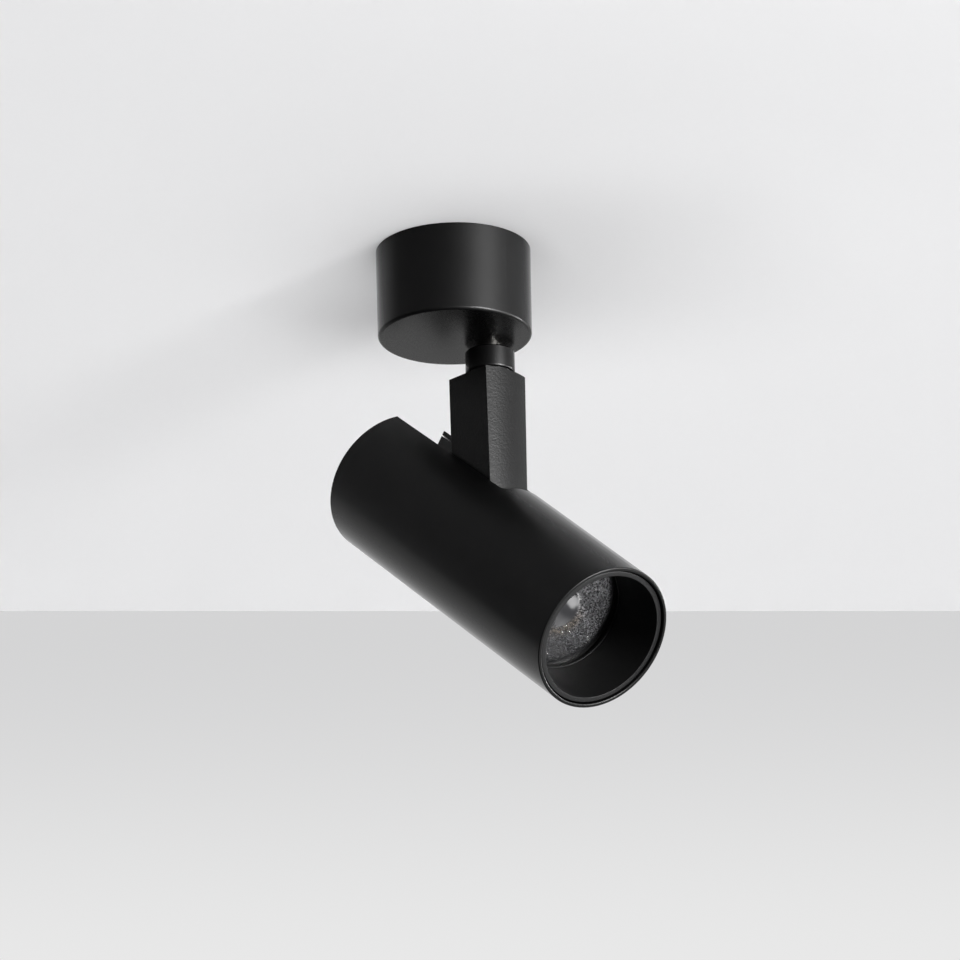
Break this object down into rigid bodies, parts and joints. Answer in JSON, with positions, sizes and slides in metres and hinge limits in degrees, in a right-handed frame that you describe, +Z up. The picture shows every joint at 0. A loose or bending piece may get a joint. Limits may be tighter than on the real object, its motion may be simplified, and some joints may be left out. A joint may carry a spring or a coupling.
{
  "type": "ceiling spotlight",
  "caption": "Black ceiling spotlight: a round cup carries an off-centre swivelling arm, and a slotted tube with a recessed lens tilts on the arm to aim the light.",
  "frame": {"origin": "middle of the ceiling cup, on the ceiling plane", "axes": "+Z up through the ceiling; +X the level direction in which the tube's mouth points at rest; +Y from the cup's middle to the neck, along the tilt axis"},
  "size_m": [0.1571, 0.0803, 0.1996],
  "materials": {
    "canopy_black": "smooth satin black powder coat on aluminium",
    "tube_black": "fine satin black powder coat on aluminium",
    "arm_black": "fine-grained black powder coat on cast aluminium",
    "collar_black": "smooth satin black powder coat on aluminium",
    "sink_black": "black anodised extrusion",
    "nickel_plate": "nickel-plated turned brass",
    "zinc_steel": "zinc-plated steel",
    "black_steel": "blackened steel",
    "spring_steel": "hardened spring steel",
    "bush_bronze": "sintered bronze",
    "screw_brass": "plain brass",
    "slide_polymer": "white sliding polymer",
    "block_white": "white moulded plastic",
    "driver_white": "white moulded plastic",
    "holder_white": "white heat-resistant plastic",
    "pad_grey": "filled silicone pad",
    "board_metal": "white solder mask on a metal board",
    "phosphor": "yellow phosphor resin",
    "lens_clear": "clear pebbled optical plastic",
    "holder_black": "black moulded plastic",
    "baffle_black": "deep matt black moulding",
    "ring_rubber": "black rubber"
  },
  "bodies": {
    "base": {"canopy_cup": "canopy_black", "ceiling_bracket": "zinc_steel", "canopy_screws": "black_steel", "terminal_block": "block_white", "terminal_screws": "screw_brass", "block_screw": "zinc_steel", "earth_screw": "screw_brass", "driver_case": "driver_white", "driver_lid": "driver_white", "swivel_bolt": "nickel_plate", "swivel_washer": "spring_steel", "swivel_nut": "screw_brass"},
    "swivel": {"swivel_collar": "collar_black", "upper_slide_washer": "slide_polymer", "lower_slide_washer": "slide_polymer", "stop_pin": "spring_steel", "arm_bar": "arm_black", "pivot_bushes": "bush_bronze"},
    "head": {"spot_tube": "tube_black", "heat_sink": "sink_black", "pivot_bolt": "black_steel", "pivot_nut": "zinc_steel", "disc_spring": "spring_steel", "friction_washers": "slide_polymer", "tube_screws": "black_steel", "thermal_pad": "pad_grey", "led_board": "board_metal", "led_emitter": "phosphor", "led_holder": "holder_white", "led_screws": "zinc_steel", "tir_lens": "lens_clear", "lens_holder": "holder_black", "lens_ring": "holder_black", "baffle": "baffle_black", "baffle_o_ring": "ring_rubber"}
  },
  "joints": [
    {"name": "pan", "type": "hinge", "parent": "base", "child": "swivel", "pos_m": [0, 0.0191, -0.0388], "axis": [0, 0, 1], "range_deg": [-75, 255]},
    {"name": "tilt", "type": "hinge", "parent": "swivel", "child": "head", "pos_m": [-0.002, 0.0191, -0.1029], "axis": [0, 1, 0], "range_deg": [-39.7, 50.3]}
  ]
}
